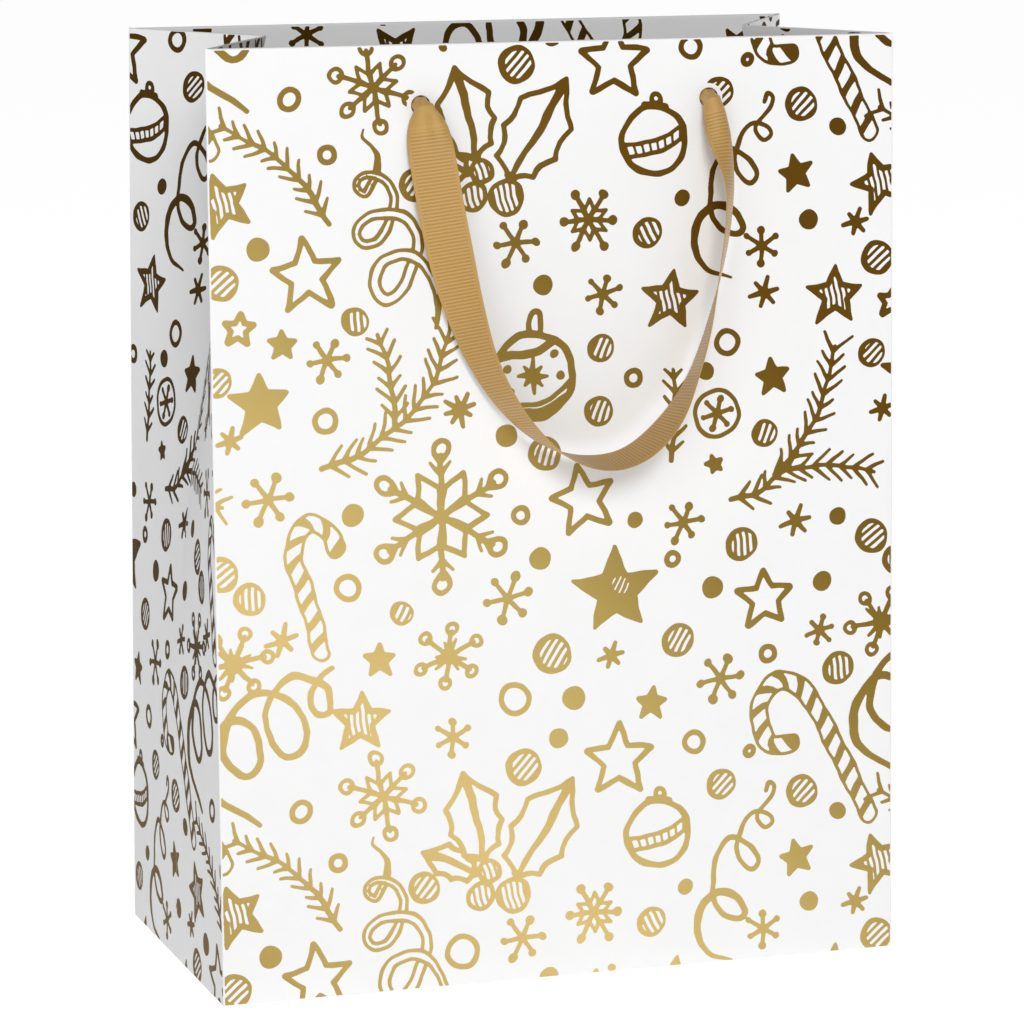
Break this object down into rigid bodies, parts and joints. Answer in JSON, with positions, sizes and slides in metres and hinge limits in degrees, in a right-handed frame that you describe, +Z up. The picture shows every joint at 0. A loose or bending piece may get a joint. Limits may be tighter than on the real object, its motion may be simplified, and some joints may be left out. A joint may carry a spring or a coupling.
{
  "type": "gift bag",
  "caption": "Upright paper gift bag with folded side gussets, a turned-in top hem, a stiffened flat base and hanging ribbon loop handles.",
  "frame": {"origin": "middle of the base, on the surface the bag stands on", "axes": "+Z up; front wall towards -Y; +X to the right of someone facing the front wall"},
  "size_m": [0.25, 0.1482, 0.3298],
  "materials": {
    "white_paper": "satin",
    "grey_board": "matte",
    "ribbon": "satin",
    "gold_foil": "polished"
  },
  "bodies": {
    "base": {"left_gusset_front": "white_paper", "left_gusset_back": "white_paper", "right_gusset_front": "white_paper", "right_gusset_back": "white_paper", "left_gusset_hem_front": "white_paper", "left_gusset_hem_back": "white_paper", "right_gusset_hem_front": "white_paper", "right_gusset_hem_back": "white_paper", "bottom_front_flap": "white_paper", "bottom_back_flap": "white_paper", "bottom_left_flap": "white_paper", "bottom_right_flap": "white_paper", "base_board": "grey_board"},
    "front_wall": {"front_wall": "white_paper", "front_hem": "white_paper", "front_hem_board": "grey_board", "front_left_knot": "ribbon", "front_right_knot": "ribbon"},
    "back_wall": {"back_wall": "white_paper", "back_hem": "white_paper", "back_hem_board": "grey_board", "back_left_knot": "ribbon", "back_right_knot": "ribbon", "side_seam_flap": "white_paper"},
    "front_handle": {"front_ribbon_handle": "ribbon"},
    "back_handle": {"back_ribbon_handle": "ribbon"}
  },
  "joints": [
    {"name": "front_wall_lean", "type": "hinge", "parent": "base", "child": "front_wall", "pos_m": [0, -0.065, 0], "axis": [-1, 0, 0], "range_deg": [-1.8, 7.5], "deforming": ["left_gusset_front", "left_gusset_hem_front", "right_gusset_front", "right_gusset_hem_front"]},
    {"name": "back_wall_lean", "type": "hinge", "parent": "base", "child": "back_wall", "pos_m": [0, 0.065, 0], "axis": [1, 0, 0], "range_deg": [-1.8, 7.5], "deforming": ["left_gusset_back", "left_gusset_hem_back", "right_gusset_back", "right_gusset_hem_back"]},
    {"name": "front_handle_swing", "type": "hinge", "parent": "front_wall", "child": "front_handle", "pos_m": [0.003, -0.05917, 0.30897], "axis": [-1, 0, 0], "range_deg": [0, 160]},
    {"name": "back_handle_swing", "type": "hinge", "parent": "back_wall", "child": "back_handle", "pos_m": [0.003, 0.05917, 0.30897], "axis": [1, 0, 0], "range_deg": [0, 160]}
  ]
}
